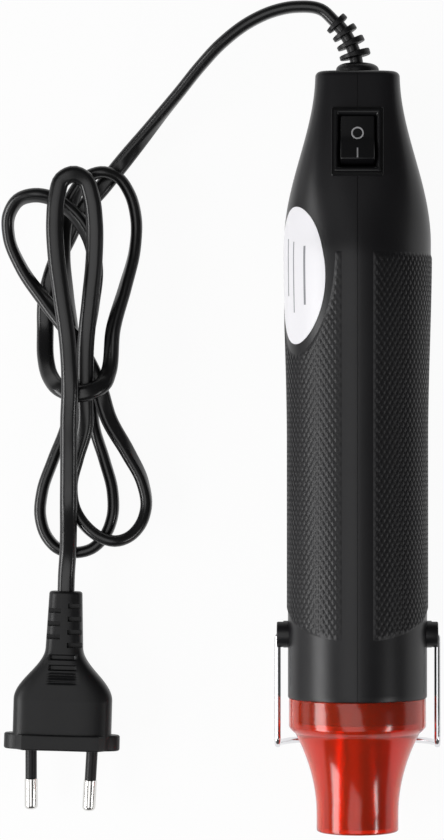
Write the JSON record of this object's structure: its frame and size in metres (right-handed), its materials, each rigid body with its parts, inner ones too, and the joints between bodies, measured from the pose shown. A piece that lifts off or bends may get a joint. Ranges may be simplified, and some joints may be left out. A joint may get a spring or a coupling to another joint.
{
  "type": "embossing heat tool",
  "caption": "Slim hand-held hot air tool with a knurled round grip, flared nozzle guard, rocker switch, wire stand and a hanked flat cord with a two-pin plug.",
  "frame": {"origin": "on the table under the middle of the tool, which lies on its back; measured without the cord, its boot and its plug", "axes": "+Y along the tool from the nozzle toward the cord, +Z out of the switch face, +X to the right seen from above"},
  "size_m": [0.1327, 0.2494, 0.044],
  "materials": {
    "black_plastic": "fine satin moulding",
    "black_gloss": "smooth moulding",
    "black_rubber": "satin soft moulding",
    "grey_plastic": "plain moulding",
    "pale_plastic": "plain moulding",
    "red_plastic": "polished translucent moulding",
    "cord_jacket": "semi-gloss",
    "lead_jacket": "satin",
    "label": "smooth sticker",
    "chrome": "bright plated wire",
    "nickel": "bright nickel",
    "zinc": "zinc plated",
    "steel": "bare sheet",
    "brass": "bare",
    "copper": "wound and varnished",
    "magnet": "sintered",
    "board": "laminate",
    "mica": "flaky sheet",
    "heating_wire": "oxidised wire"
  },
  "bodies": {
    "tool": {"left_shell": "black_plastic", "right_shell": "black_plastic", "housing_screws": "zinc", "strain_relief": "black_rubber", "cord_clamp": "grey_plastic", "clamp_screws": "zinc", "switch_frame": "black_plastic", "switch_terminals": "brass", "mains_leads": "lead_jacket", "rectifier_board": "board", "diodes": "grey_plastic", "motor_cradle": "grey_plastic", "motor_can": "zinc", "motor_end_cap": "pale_plastic", "motor_bearings": "brass", "motor_magnets": "magnet", "heat_tube": "steel", "heat_tube_flange": "steel", "mica_liner": "mica", "mica_cards": "mica", "heater_coil": "heating_wire", "thermal_cutout": "pale_plastic", "nozzle_guard": "red_plastic", "rating_label": "label", "cord_lead": "cord_jacket", "cord_hank": "cord_jacket", "cord_tail": "cord_jacket", "plug_body": "black_rubber", "pin_sleeves": "black_gloss", "plug_pins": "nickel"},
    "switch_rocker": {"rocker": "black_gloss"},
    "fan": {"motor_shaft": "steel", "armature": "copper", "impeller": "pale_plastic"},
    "stand": {"wire_stand": "chrome"}
  },
  "joints": [
    {"name": "switch_rock", "type": "hinge", "parent": "tool", "child": "switch_rocker", "pos_m": [0, 0.09187, 0.03711], "axis": [1, 0, 0], "range_deg": [0, 20]},
    {"name": "fan_spin", "type": "hinge", "parent": "tool", "child": "fan", "pos_m": [0, 0, 0.02205], "axis": [0, 1, 0], "continuous": true},
    {"name": "stand_swing", "type": "hinge", "parent": "tool", "child": "stand", "pos_m": [0, -0.05455, 0.02205], "axis": [1, 0, 0], "range_deg": [0, 110]}
  ]
}
